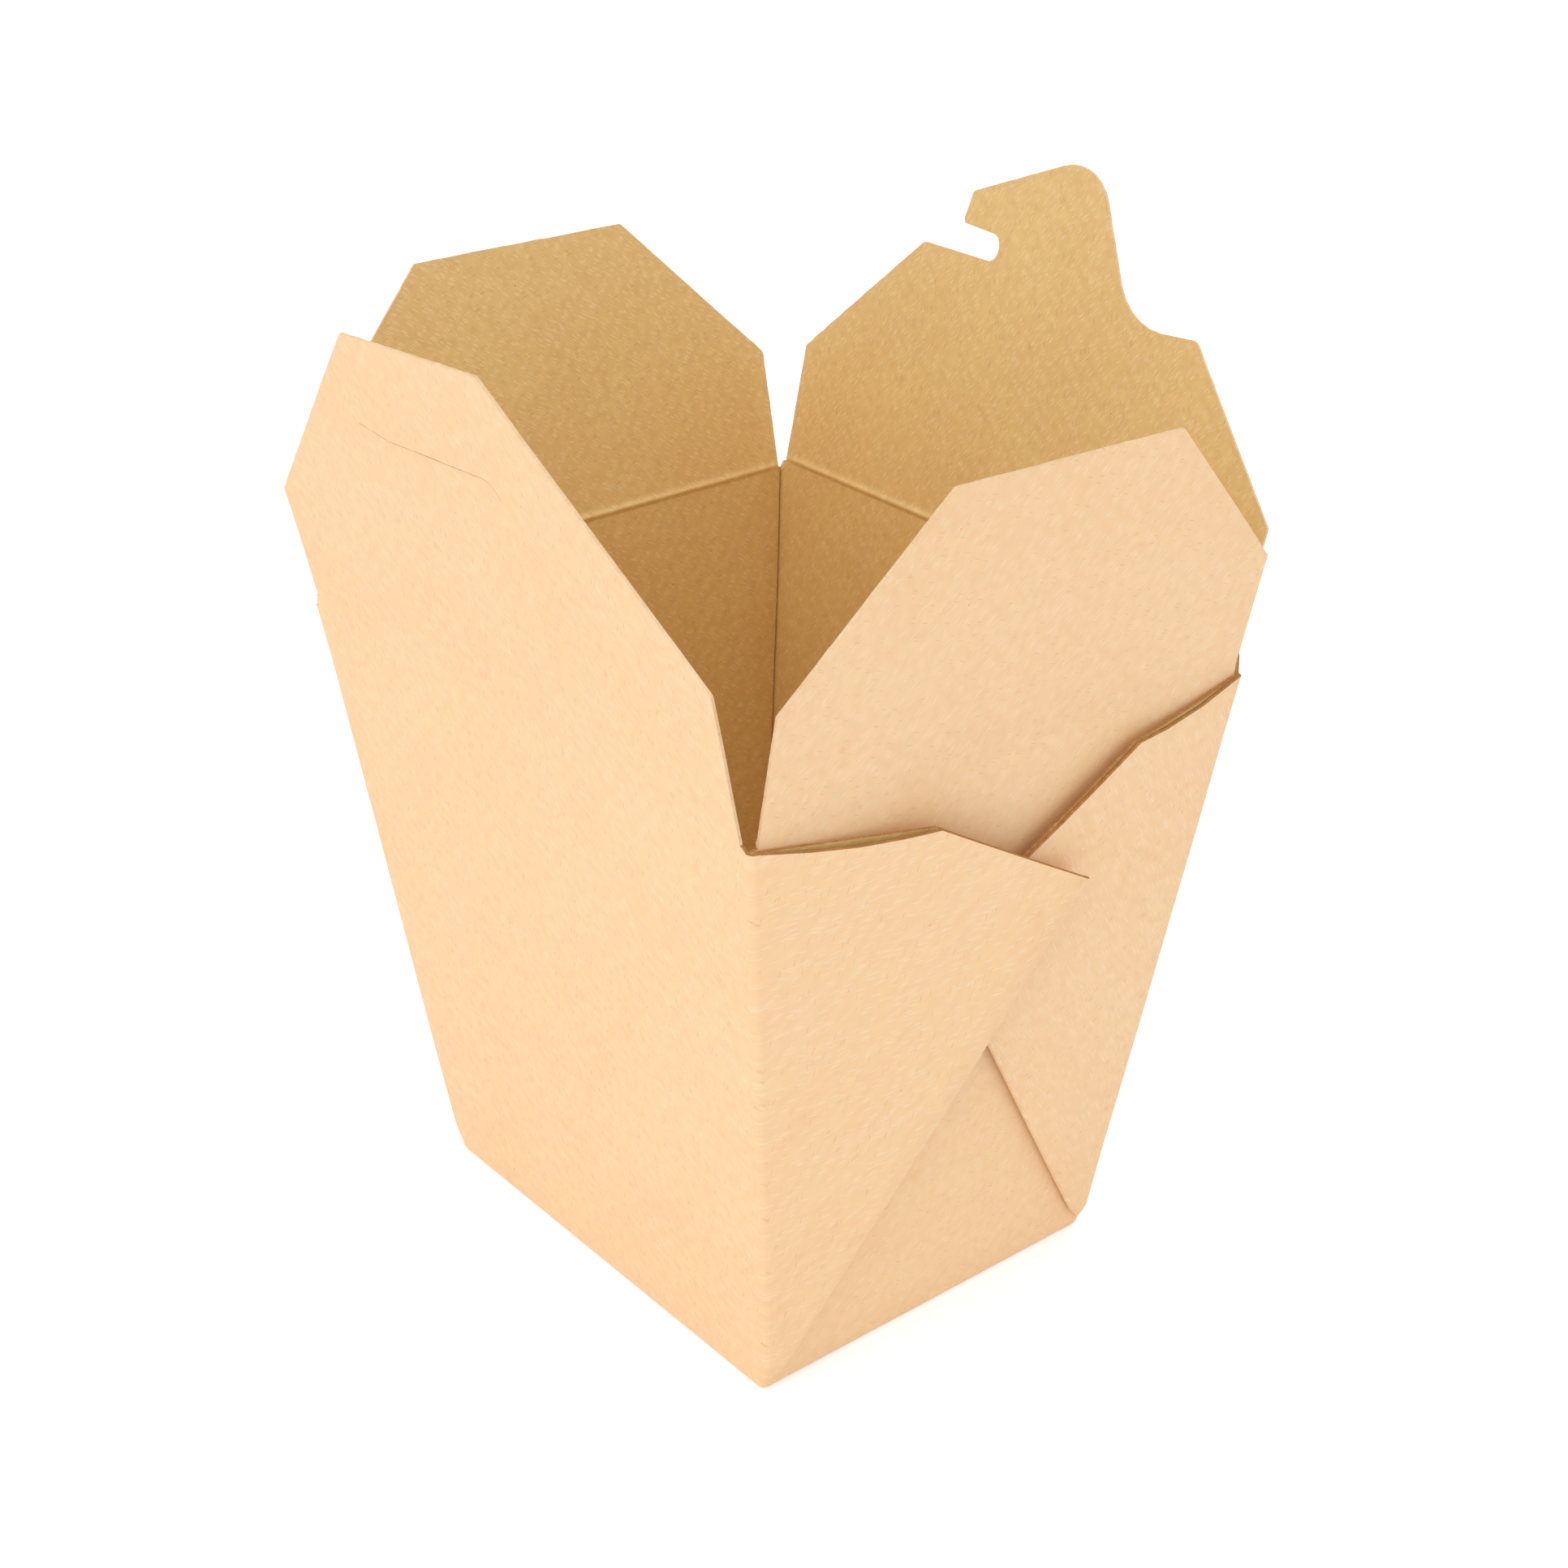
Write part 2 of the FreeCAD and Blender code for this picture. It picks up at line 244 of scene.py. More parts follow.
# %% [markdown]
# ## Where a point lies on the flat sheet
#
# The flat sheet has the base in its middle, the walls round it and the webs between them. On it,
# the level line is a chain of straight runs, so a point's place is found by going part of the way
# from one knee of the chain to the next. This becomes the UV map, in metres of real board.

# %% The flat sheet's map
def flat_knees(z, inset, leave, curl, pressed):
    half_y, moves = quarter_moves(z, inset, leave, curl)
    end_y, side_x = -base_y - end_slant * z + inset, base_x + side_slant * z - inset
    root = end_slant * z / math.cos(end_edge)
    edges = []
    for angle in (end_edge, end_edge + web_half, end_edge + 2 * web_half):
        reach = root if angle != end_edge + web_half else root * math.cos(web_half)
        edges.append(Vector((base_x + reach * math.sin(angle), -base_y - reach * math.cos(angle))))
    wall = [Vector((0, end_y)), Vector((moves[0][0], end_y))]
    side = [Vector((side_x, -moves[-1][0])), Vector((side_x, 0))]
    return wall + edges[:2] + edges[1:] + side


def on_flat(part, share, *level):
    knees = flat_knees(*level)
    return knees[part].lerp(knees[part + 1], share)


# %% [markdown]
# ## The columns of the mesh
#
# The wall of the box can be one ring of edges that is extruded upwards, row by row. Each vertex of
# the ring is a column: it has a fixed share of one move of the level line, and a height at which
# the board is cut. Four quarters make the ring. Those at two opposite corners are laid over (their
# plies lie on top), and the other two under. The outer ply's cut edge hangs a little lower than the
# inner one's. The notch at a corner starts just before the end wall's bend, and its other side
# rises to the side wall's crease over the second half of that wall's bend.

# %% Columns round the whole box
WALL_STEPS, PLY_STEPS, BEND_STEPS = 8, 9, 5
NOTCH_START = 0.985


def even(steps):
    return [i / steps for i in range(steps)]


def quarter_columns(cut):
    ply_shares = sorted(even(PLY_STEPS) + [web_peak(*cut[:2])[1]])
    back_shares = [0] + sorted(1 - share for share in ply_shares if share > 0)
    end_shares = even(WALL_STEPS) + [NOTCH_START]
    shares = [end_shares, even(BEND_STEPS), ply_shares, even(BEND_STEPS), back_shares]
    shares += [even(BEND_STEPS), even(WALL_STEPS) + [1]]
    return [(part, share) for part, found in enumerate(shares) for share in found]


def column_top(part, share, cut, end_top, side_top):
    corner = web_top(0, *cut)
    tops = [end_top, corner, web_top(share, *cut, OUTER_HOLLOW)]
    tops += [web_top(1, *cut), web_top(1 - share, *cut)]
    tops += [corner + (side_top - corner) * ease(2 * share - 1), side_top]
    return tops[part]


OVER = (OVER_CUT, (math.radians(OVER_LEAVE), math.radians(OVER_CURL), OVER_PRESSED))
UNDER = (UNDER_CUT, (math.radians(UNDER_LEAVE), math.radians(UNDER_CURL), UNDER_PRESSED))
quarters = [
    (OVER, "front_crease", "right_crease", 1, 1),
    (UNDER, "back_crease", "right_crease", 1, -1),
    (OVER, "back_crease", "left_crease", -1, -1),
    (UNDER, "front_crease", "left_crease", -1, 1),
]
ring = []
for (cut, fold), end, side, sign_x, sign_y in quarters:
    tops = [creases[end].z - CREASE_RUN, creases[side].z - CREASE_RUN]
    found = [(cut, fold, tops, sign_x, sign_y, *column) for column in quarter_columns(cut)]
    if sign_x != sign_y:
        found.reverse()
    ring += found[:-1]
print("the ring has", len(ring), "columns")

# %% [markdown]
# ## Board is never quite flat
#
# Light shows it at once when a sheet is perfectly flat. The whole box gets the same slight sway, a
# fraction of a millimetre, from a smooth noise. It depends on the place in space only, so sheets
# that lie against each other move together and never cross. It fades out at the base, and at the
# creases, which stay straight because the flaps turn on them.

# %% A slight sway for every sheet
SWAY = 0.22
SWAY_SIZE = 34
SWAY_FADE = 16


def swayed(point):
    rest = min(point.z, abs(point.z - creases["front_crease"].z))
    amount = SWAY * ease(rest / SWAY_FADE)
    x = noise.noise(Vector((point.y, point.z, 0)) / SWAY_SIZE)
    y = noise.noise(Vector((point.x, point.z, SWAY_SIZE)) / SWAY_SIZE)
    return point + Vector((x, y, 0)) * amount


# %% [markdown]
# ## The carton
#
# The ring starts as the outline of the flat base, which one face closes. Then each extrude adds a
# row: first round the base fold, then up the walls. Rows lie closer together low down, where the
# plies open, and each column ends at its own cut edge. Only the middle of the board is modelled: a
# Solidify modifier gives it its thickness later, with the inside and the cut edges in materials of
# their own. Where the columns of a web meet at the base corner, the doubles are merged.

# %% Rows of the carton
WALL_ROWS = 30
ROW_EASE = 1.6
MERGE = 0.01


def carton_rows():
    rows = []
    for i in range(FOLD_STEPS + 1):
        angle = fold_turn * i / FOLD_STEPS
        height = BOARD / 2 + FOLD_RADIUS * (1 - math.cos(angle))
        rows.append((height, FOLD_RADIUS * (math.sin(fold_turn) - math.sin(angle)), 0))
    for i in range(WALL_ROWS):
        rows.append((fold_top, 0, ((i + 1) / WALL_ROWS) ** ROW_EASE))
    return rows


def place_column(column, row):
    cut, fold, tops, sign_x, sign_y, part, share = column
    height, inset, rise = row
    z = height + (column_top(part, share, cut, *tops) - fold_top) * rise
    level = (max(z, fold_top), inset, *fold)
    point, flat = on_quarter(part, share, *level), on_flat(part, share, *level)
    spot = Vector((point.x * sign_x, point.y * sign_y, z))
    return swayed(spot), Vector((flat.x * sign_x, flat.y * sign_y))


# %% Build the carton's sheet
def set_row(verts, row, layers):
    for vert in verts:
        vert.co, flat = place_column(ring[vert[layers[0]]], row)
        vert[layers[1]], vert[layers[2]] = flat


def add_layers(bm):
    kinds = (bm.verts.layers.int, bm.verts.layers.float, bm.verts.layers.float)
    return [kind.new(name) for kind, name in zip(kinds, ("column", "flat_x", "flat_y"))]


def carton_sheet():
    bm = bmesh.new()
    layers = add_layers(bm)
    rows = carton_rows()
    loop = [bm.verts.new() for _ in ring]
    for index, vert in enumerate(loop):
        vert[layers[0]] = index
    base = bm.faces.new(loop)
    set_row(loop, rows[0], layers)
    edges = list(base.edges)
    for row in rows[1:]:
        grown = bmesh.ops.extrude_edge_only(bm, edges=edges)["geom"]
        edges = [e for e in grown if isinstance(e, bmesh.types.BMEdge) and e.is_boundary]
        set_row([v for v in grown if isinstance(v, bmesh.types.BMVert)], row, layers)
    bmesh.ops.remove_doubles(bm, verts=bm.verts, dist=MERGE)
    bmesh.ops.recalc_face_normals(bm, faces=bm.faces)
    return bm


# %% [markdown]
# ## From a sheet to board
#
# A sheet becomes an object in three moves. Its flat places go into the UV map, its millimetres
# become metres, and modifiers make it board: Solidify gives the thickness, and an Edge Split keeps
# the cut edges as crisp as the die leaves them. The carton's sheet is the middle of the board. A
# flap's sheet is its outer face, so that a bead grows inwards only and the outside stays flat.

# %% Turn a sheet into board
CUT_ANGLE = 55


def board_object(bm, name, materials, bead=0):
    flat_x, flat_y = (bm.verts.layers.float.get(key) for key in ("flat_x", "flat_y"))
    sheet_map = bm.loops.layers.uv.new("sheet")
    for face in bm.faces:
        face.smooth = True
        for loop in face.loops:
            loop[sheet_map].uv = (loop.vert[flat_x] * MM, loop.vert[flat_y] * MM)
    bmesh.ops.scale(bm, vec=Vector((MM, MM, MM)), verts=bm.verts)
    mesh = bpy.data.meshes.new(name)
    bm.to_mesh(mesh)
    bm.free()
    piece = bpy.data.objects.new(name, mesh)
    bpy.context.scene.collection.objects.link(piece)
    for material in materials:
        mesh.materials.append(material)
    board = piece.modifiers.new("board", "SOLIDIFY")
    board.thickness = (BOARD + bead) * MM
    board.offset = -1 if bead else 0
    board.material_offset = 1
    board.material_offset_rim = 2
    cut = piece.modifiers.new("cut", "EDGE_SPLIT")
    cut.split_angle = math.radians(CUT_ANGLE)
    return piece


# %% [markdown]
# ## Flaps
#
# A flap is the same sheet beyond a crease. Its outline has few corners, each with its own rounding,
# so a face with those corners is drawn flat and its vertices are bevelled one by one. Planes then
# cut it into a grid, close together at the crease and wider above, so that it can bend there.

# %% Outlines of the flaps, as (across, up, rounding)
SIDE_CLEARANCE, FRONT_WIDER, NOTCH_HALF = 0.45, 0.3, 0.4
RIGHT_NARROWER = 0.9
SHOULDER_LOW, SHOULDER_HIGH, FRONT_SHOULDER = 18.6, 20.1, 22.7
CORNER_ROUND, SHOULDER_ROUND = 0.8, 1.5

end_half = creases["right_crease"].x - BOARD / 2 - SIDE_CLEARANCE
side_half = -creases["front_crease"].y - BOARD / 2 - SIDE_CLEARANCE
FRONT_TOP = [(14.7, 55.3, CORNER_ROUND), (-18.7, 52.4, CORNER_ROUND)]
RIGHT_TOP = [(19.8, 44.5, CORNER_ROUND), (-20.5, 45.9, CORNER_ROUND)]
LEFT_TOP = [(18.7, 45.7, CORNER_ROUND), (-20.1, 45.5, CORNER_ROUND)]
HOOK_TOP = [
    (30.5, 40.6, SHOULDER_ROUND),
    (17.1, 39.6, 10.0),
    (4.1, 62.3, 8.0),
    (-20.2, 52.2, CORNER_ROUND),
    (-21.0, 47.1, CORNER_ROUND),
    (-12.2, 46.7, 2.0),
    (-12.2, 42.5, 2.0),
    (-28.5, 42.5, SHOULDER_ROUND),
]


def outline(half, right_shoulder, left_shoulder, top, narrower=0):
    left_edge = narrower - half
    foot = [(left_edge + NOTCH_HALF, 0, 0), (half - NOTCH_HALF, 0, 0)]
    right, left = (half, right_shoulder, CORNER_ROUND), (left_edge, left_shoulder, CORNER_ROUND)
    return foot + [right] + top + [left]


# %% Cut a flap out of flat board
ARC_STEP, LEAST_STEPS = math.radians(12), 3
GRID = 1.7
FOOT_ROWS = [0.2, 0.4, 0.6, 0.8, 1.0, 1.2, 1.5, 2.0, 3.0, 4.5]
ON_PLANE = 0.0001


def round_corner(bm, vert, radius):
    sides = [(edge.other_vert(vert).co - vert.co).normalized() for edge in vert.link_edges]
    corner = sides[0].angle(sides[1])
    steps = max(LEAST_STEPS, round((math.pi - corner) / ARC_STEP))
    reach = radius / math.tan(corner / 2)
    bmesh.ops.bevel(bm, geom=[vert], offset=reach, offset_type="OFFSET", segments=steps,
                    profile=0.5, affect="VERTICES", material=-1)


def cut_rows(bm, places, direction):
    for place in places:
        everything = bm.verts[:] + bm.edges[:] + bm.faces[:]
        bmesh.ops.bisect_plane(bm, geom=everything, dist=ON_PLANE, plane_co=direction * place,
                               plane_no=direction)


def grid_places(low, high):
    count = int((high - low) / GRID)
    return [low + (high - low) * (i + 1) / (count + 1) for i in range(count)]


def flap_blank(corners, slit=None):
    bm = bmesh.new()
    verts = [bm.verts.new((across, up, 0)) for across, up, rounding in corners]
    bm.faces.new(verts)
    for vert, (across, up, rounding) in zip(verts, corners):
        if rounding > 0:
            round_corner(bm, vert, rounding)
    if slit:
        slit(bm)
    half, high = max(c[0] for c in corners), max(c[1] for c in corners)
    cut_rows(bm, FOOT_ROWS + grid_places(FOOT_ROWS[-1], high), Vector((0, 1, 0)))
    cut_rows(bm, grid_places(-half, half), Vector((1, 0, 0)))
    return bm


# %% [markdown]
# ## The slit in the front flap
#
# The hook of the back flap locks in a slit: a cut that comes down from the left over a slight knee,
# runs on straight, and turns down in a small arc at its right end. A strip is extruded along the
# two runs and spun round the arc. Its outline and the flap's outline are then filled together,
# which leaves the slit open.

# %% The slit
UP = Vector((0, 0, 1))
SLIT_WIDTH = 0.09
SLIT_START, SLIT_KNEE = Vector((-20.5, 38.5, 0)), Vector((-13.3, 37.8, 0))
SLIT_RISE, SLIT_LENGTH = math.radians(4.3), 23.1
SLIT_TURN, SLIT_RADIUS, SLIT_STEPS = math.radians(75), 3.4, 8


def front_slit(bm):
    along = Vector((math.cos(SLIT_RISE), math.sin(SLIT_RISE), 0))
    aside = UP.cross(along)
    tip = [bm.verts.new(SLIT_START + aside * (side * SLIT_WIDTH / 2)) for side in (-1, 1)]
    edge = bm.edges.new(tip)
    for run in (SLIT_KNEE - SLIT_START, along * SLIT_LENGTH):
        grown = bmesh.ops.extrude_edge_only(bm, edges=[edge])["geom"]
        tip = [v for v in grown if isinstance(v, bmesh.types.BMVert)]
        bmesh.ops.translate(bm, verts=tip, vec=run)
        edge = bm.edges.get(tip)
    centre = (tip[0].co + tip[1].co) / 2 - aside * SLIT_RADIUS
    bmesh.ops.spin(bm, geom=tip + [edge], cent=centre, axis=UP, angle=-SLIT_TURN,
                   steps=SLIT_STEPS)
    inner = [e for e in bm.edges if not e.is_boundary]
    bmesh.ops.delete(bm, geom=bm.faces[:], context="FACES_ONLY")
    bmesh.ops.delete(bm, geom=inner, context="EDGES")
    bmesh.ops.triangle_fill(bm, use_beauty=True, edges=bm.edges[:], normal=UP)


# %% [markdown]
# ## A cut edge is a little rough
#
# A die leaves the edge of fibrous board faintly ragged, so the outline's vertices are moved by a
# noise of about a tenth of a millimetre. Those near the crease stay, because the flap has to meet
# the wall there. So do those that stand very close together, where a face could fold over.

# %% Roughen the edges
EDGE_WOBBLE, WOBBLE_SIZE, STEADY_EDGE = 0.11, 1.1, 0.4
WOBBLE_APART = Vector((0, 0, 7.3))


def wobble_edges(bm):
    moved = []
    for vert in bm.verts:
        shortest = min(edge.calc_length() for edge in vert.link_edges)
        if vert.is_boundary and vert.co.y > FOOT_ROWS[-1] and shortest > STEADY_EDGE:
            moved.append(vert)
    for vert in moved:
        spot = vert.co / WOBBLE_SIZE
        x, y = noise.noise(spot + WOBBLE_APART), noise.noise(spot - WOBBLE_APART)
        vert.co += Vector((x, y, 0)) * EDGE_WOBBLE


# %% [markdown]
# ## Standing a flap on its crease
#
# A die presses the crease from outside, so the board bulges inwards there: a rounded bead that
# catches the light, while the outside stays smooth. The board gets thicker along the bead, which
# fades before it reaches the flap's side edges. The lowest row lies on the wall's own top edge, so
# that flap and wall read as one sheet.

# %% Place a flap
BEAD, BEAD_HIGH, BEAD_END = 0.4, 1.5, 2.0


def bead_at(across, up, half):
    profile = math.sin(math.pi * min(1, max(0, up / BEAD_HIGH))) ** 2
    return BEAD * profile * ease((half - abs(across)) / BEAD_END)


def stand_flap(bm, crease, across, tilt, curl, flat_across, flat_up):
    layers = add_layers(bm)
    group = bm.verts.layers.deform.new()
    outward = Vector((crease.x, crease.y, 0)).normalized()
    on_side = abs(outward.x) > abs(outward.y)
    flare, base = (flare_x, base_x) if on_side else (flare_y, base_y)
    wall_up = (outward * flare + UP).normalized()
    lean = math.radians(tilt)
    flap_up = outward * math.sin(lean) + UP * math.cos(lean)
    off = outward * math.cos(lean) - UP * math.sin(lean)
    below = CREASE_RUN / wall_up.z
    half = max(v.co.x for v in bm.verts if v.co.y < MM)
    high = max(v.co.y for v in bm.verts)
    slant = crease.z / wall_up.z + base - below
    for vert in bm.verts:
        side, up = vert.co.x, vert.co.y
        bead = bead_at(side, up, half)
        flat = flat_across * side + flat_up * (slant + up)
        vert[layers[1]], vert[layers[2]] = flat
        vert[group][0] = bead / BEAD
        raised = curl * ease(up / high) * up / high + BOARD / 2
        run = wall_up * min(0, up - below) + flap_up * max(0, up - below)
        vert.co = swayed(crease + across * side + run + off * raised)
    bmesh.ops.recalc_face_normals(bm, faces=bm.faces)
    if sum((face.normal.dot(off) * face.calc_area() for face in bm.faces)) < 0:
        bmesh.ops.reverse_faces(bm, faces=bm.faces)
    start, end = crease - wall_up * below, crease + flap_up * (BEAD_HIGH - below)
    return start * MM, end * MM


# %% [markdown]
# ## Kraft board and its finishes
#
# The sheet is pale and smooth outside and golden brown inside. A flap's cut edge shows raw, pale
# pulp. The edge of a web is the same board, but it is painted brown: painted shade for the dark gap
# between the plies and the wall, where it lies. What all of them share are effects: short fibres
# that lean one way, a cloudy unevenness, and a few specks. Each effect is a node group with its own
# inputs, so that every finish can use it at its own strength. The helpers below turn a hex colour
# into Blender's linear one, add a node, and make or use a group with named sockets.

# %% Helpers for nodes
def paint(code):
    parts = [int(code[i:i + 2], 16) / 255 for i in (1, 3, 5)]
    linear = [p / 12.92 if p <= 0.04045 else ((p + 0.055) / 1.055) ** 2.4 for p in parts]
    return (*linear, 1)


def put(tree, kind, inputs=(), **settings):
    made = tree.nodes.new("ShaderNode" + kind)
    for name, value in settings.items():
        setattr(made, name, value)
    for socket, value in dict(inputs).items():
        if isinstance(value, bpy.types.NodeSocket):
            tree.links.new(value, made.inputs[socket])
        else:
            made.inputs[socket].default_value = value
    return made


def calc(tree, operation, *values, clamp=False):
    return put(tree, "Math", enumerate(values), operation=operation, use_clamp=clamp).outputs[0]


def new_group(name, inputs, outputs):
    tree = bpy.data.node_groups.new(name, "ShaderNodeTree")
    for socket, kind in inputs:
        tree.interface.new_socket(socket, in_out="INPUT", socket_type="NodeSocket" + kind)
    for socket, kind in outputs:
        tree.interface.new_socket(socket, in_out="OUTPUT", socket_type="NodeSocket" + kind)
    start = tree.nodes.new("NodeGroupInput")
    return tree, start.outputs, tree.nodes.new("NodeGroupOutput").inputs


def use(tree, group, inputs):
    made = tree.nodes.new("ShaderNodeGroup")
    made.node_tree = group
    for socket, value in inputs.items():
        if isinstance(value, bpy.types.NodeSocket):
            tree.links.new(value, made.inputs[socket])
        else:
            made.inputs[socket].default_value = value
    return made.outputs


# %% [markdown]
# Marks in a few places only: the cells of a Voronoi texture are scattered evenly, the distance is
# small in a cell's middle, and the cell's random colour says whether it has a mark at all. Fibres
# and specks both start from that.

# %% A mark in the middle of some cells
def cell_marks(tree, place, scale, edge, full, share):
    found = put(tree, "TexVoronoi", {"Vector": place, "Scale": scale}, voronoi_dimensions="2D")
    core = put(tree, "MapRange", {0: found.outputs["Distance"], 1: edge, 2: full, 3: 0.0, 4: 1.0},
               interpolation_type="SMOOTHSTEP")
    picked = put(tree, "SeparateColor", {0: found.outputs["Color"]}).outputs
    chosen = calc(tree, "LESS_THAN", picked[0], share)
    return calc(tree, "MULTIPLY", core.outputs[0], chosen), picked[1]


# %% [markdown]
# Fibres: the pattern's place is turned and squeezed, so that the round cells become long thin ones.
# The middle of a cell is a fibre, strong or faint. A little noise on the place bends the fibres.

# %% Fibres
BENDS_PER_METRE, BEND_REACH = 260.0, 0.0005
FIBRE_EDGE, FIBRE_FULL = 0.38, 0.12
FAINTEST_FIBRE = 0.3


def fibre_group():
    inputs = [("Vector", "Vector"), ("Turn", "Float"), ("Long", "Float"), ("Wide", "Float")]
    tree, given, out = new_group("fibres", inputs + [("Share", "Float")], [("Mask", "Float")])
    waves = {"Vector": given["Vector"], "Scale": BENDS_PER_METRE, "Detail": 1.0}
    bend = put(tree, "TexNoise", waves)
    pulled = put(tree, "VectorMath", {0: bend.outputs["Color"], 1: (0.5, 0.5, 0.5)},
                 operation="SUBTRACT")
    pulled = put(tree, "VectorMath", {0: pulled.outputs[0], "Scale": BEND_REACH},
                 operation="SCALE")
    bent = put(tree, "VectorMath", {0: given["Vector"], 1: pulled.outputs[0]}, operation="ADD")
    turned = put(tree, "VectorRotate", {"Vector": bent.outputs[0], "Angle": given["Turn"]},
                 rotation_type="Z_AXIS")
    size = put(tree, "CombineXYZ", {"X": given["Long"], "Y": given["Wide"], "Z": 1.0})
    cells = put(tree, "VectorMath", {0: turned.outputs[0], 1: size.outputs[0]},
                operation="DIVIDE")
    mark, chance = cell_marks(tree, cells.outputs[0], 1.0, FIBRE_EDGE, FIBRE_FULL,
                              given["Share"])
    strength = calc(tree, "MULTIPLY_ADD", chance, 1 - FAINTEST_FIBRE, FAINTEST_FIBRE)
    tree.links.new(calc(tree, "MULTIPLY", mark, strength), out["Mask"])
    return tree


fibres = fibre_group()

# %% [markdown]
# Clouds and specks: pulp is never mixed quite evenly, so the colour drifts over centimetres and
# mottles over millimetres. Specks are the middles of a few cells of a coarser texture.

# %% Clouds and specks
CLOUD_DETAIL = 4.0


def cloud_group():
    inputs = [("Vector", "Vector"), ("Size", "Float"), ("Contrast", "Float")]
    tree, given, out = new_group("clouds", inputs, [("Value", "Float")])
    scale = calc(tree, "DIVIDE", 1.0, given["Size"])
    puffs = {"Vector": given["Vector"], "Scale": scale, "Detail": CLOUD_DETAIL}
    cloud = put(tree, "TexNoise", puffs)
    centred = calc(tree, "SUBTRACT", cloud.outputs[0], 0.5)
    spread = calc(tree, "MULTIPLY", centred, given["Contrast"])
    tree.links.new(calc(tree, "ADD", spread, 0.5, clamp=True), out["Value"])
    return tree


def speck_group():
    inputs = [("Vector", "Vector"), ("Spacing", "Float"), ("Radius", "Float"), ("Share", "Float")]
    tree, given, out = new_group("specks", inputs, [("Mask", "Float")])
    scale = calc(tree, "DIVIDE", 1.0, given["Spacing"])
    reach = calc(tree, "DIVIDE", given["Radius"], given["Spacing"])
    marks = cell_marks(tree, given["Vector"], scale, reach, 0.0, given["Share"])
    tree.links.new(marks[0], out["Mask"])
    return tree


clouds, specks = cloud_group(), speck_group()

# %% [markdown]
# The finish itself: a base colour that drifts towards a second one and then a third in patches, a
# mottle that darkens it, pale and dark fibres laid over it, and specks. The same fibres stand up a
# little in the bump, and where the mottle is dark the board shines a little less. Every length is
# in metres of real board. A Mix node's two colours are its sockets 6 and 7.

# %% One kraft finish
DRIFT = {"Size": 0.021, "Contrast": 2.4}
PATCH = {"Size": 0.0075, "Contrast": 2.6}
MOTTLE = {"Size": 0.0019, "Contrast": 2.2}
DARK_TURN, DARK_LONG, DARK_WIDE = 70, 0.0021, 0.0003
SPECK = {"Spacing": 0.006, "Radius": 0.00022}
SPECK_AMOUNT = 0.8
MOTTLE_HEIGHT, BUMP_HEIGHT = 0.8, 0.00004


def tinted(tree, below, over, mask, amount):
    share = calc(tree, "MULTIPLY", mask, amount, clamp=True)
    inputs = {0: share, 6: below, 7: over}
    return put(tree, "Mix", inputs, data_type="RGBA").outputs[2]


def laid_fibres(tree, place, turn, long, wide, share):
    sizes = {"Turn": math.radians(turn), "Long": long, "Wide": wide, "Share": share}
    return use(tree, fibres, {"Vector": place, **sizes})["Mask"]


def kraft_finish(name, look):
    material = bpy.data.materials.new(name)
    material.use_nodes = True
    tree = material.node_tree
    tree.nodes.clear()
    place = put(tree, "UVMap", uv_map="sheet").outputs[0]
    drift = use(tree, clouds, {"Vector": place, **DRIFT})["Value"]
    mottle = use(tree, clouds, {"Vector": place, **MOTTLE})["Value"]
    patch = use(tree, clouds, {"Vector": place, **PATCH})["Value"]
    pale = calc(tree, "MAXIMUM", *[laid_fibres(tree, place, *kind) for kind in look["fibres"]])
    dark = laid_fibres(tree, place, DARK_TURN, DARK_LONG, DARK_WIDE, look["dark_share"])
    dot = use(tree, specks, {"Vector": place, **SPECK, "Share": look["speck_share"]})["Mask"]
    colour = tinted(tree, paint(look["base"]), paint(look["drift"]), drift, 1.0)
    colour = tinted(tree, colour, paint(look["patch"]), patch, look["patch_amount"])
    colour = tinted(tree, colour, paint(look["shade"]), mottle, look["mottle_amount"])
    colour = tinted(tree, colour, paint(look["pale"]), pale, look["pale_amount"])
    colour = tinted(tree, colour, paint(look["dark"]), dark, look["dark_amount"])
    colour = tinted(tree, colour, paint(look["dark"]), dot, SPECK_AMOUNT)
    rough = calc(tree, "MULTIPLY_ADD", mottle, look["rough_spread"], look["rough"])
    height = calc(tree, "ADD", pale, calc(tree, "MULTIPLY", mottle, MOTTLE_HEIGHT))
    relief = {"Height": height, "Strength": look["bump"], "Distance": BUMP_HEIGHT}
    bump = put(tree, "Bump", relief)
    shader = put(tree, "BsdfPrincipled", {"Base Color": colour, "Roughness": rough,
                                          "Specular IOR Level": look["specular"],
                                          "Normal": bump.outputs[0]})
    put(tree, "OutputMaterial", {0: shader.outputs[0]})
    return material


# %% [markdown]
# The finishes differ in their colours, in how strong each effect is, and in their fibres. A kind of
# fibre is given as its turn in degrees, its length, its width, and the share of cells that have it.

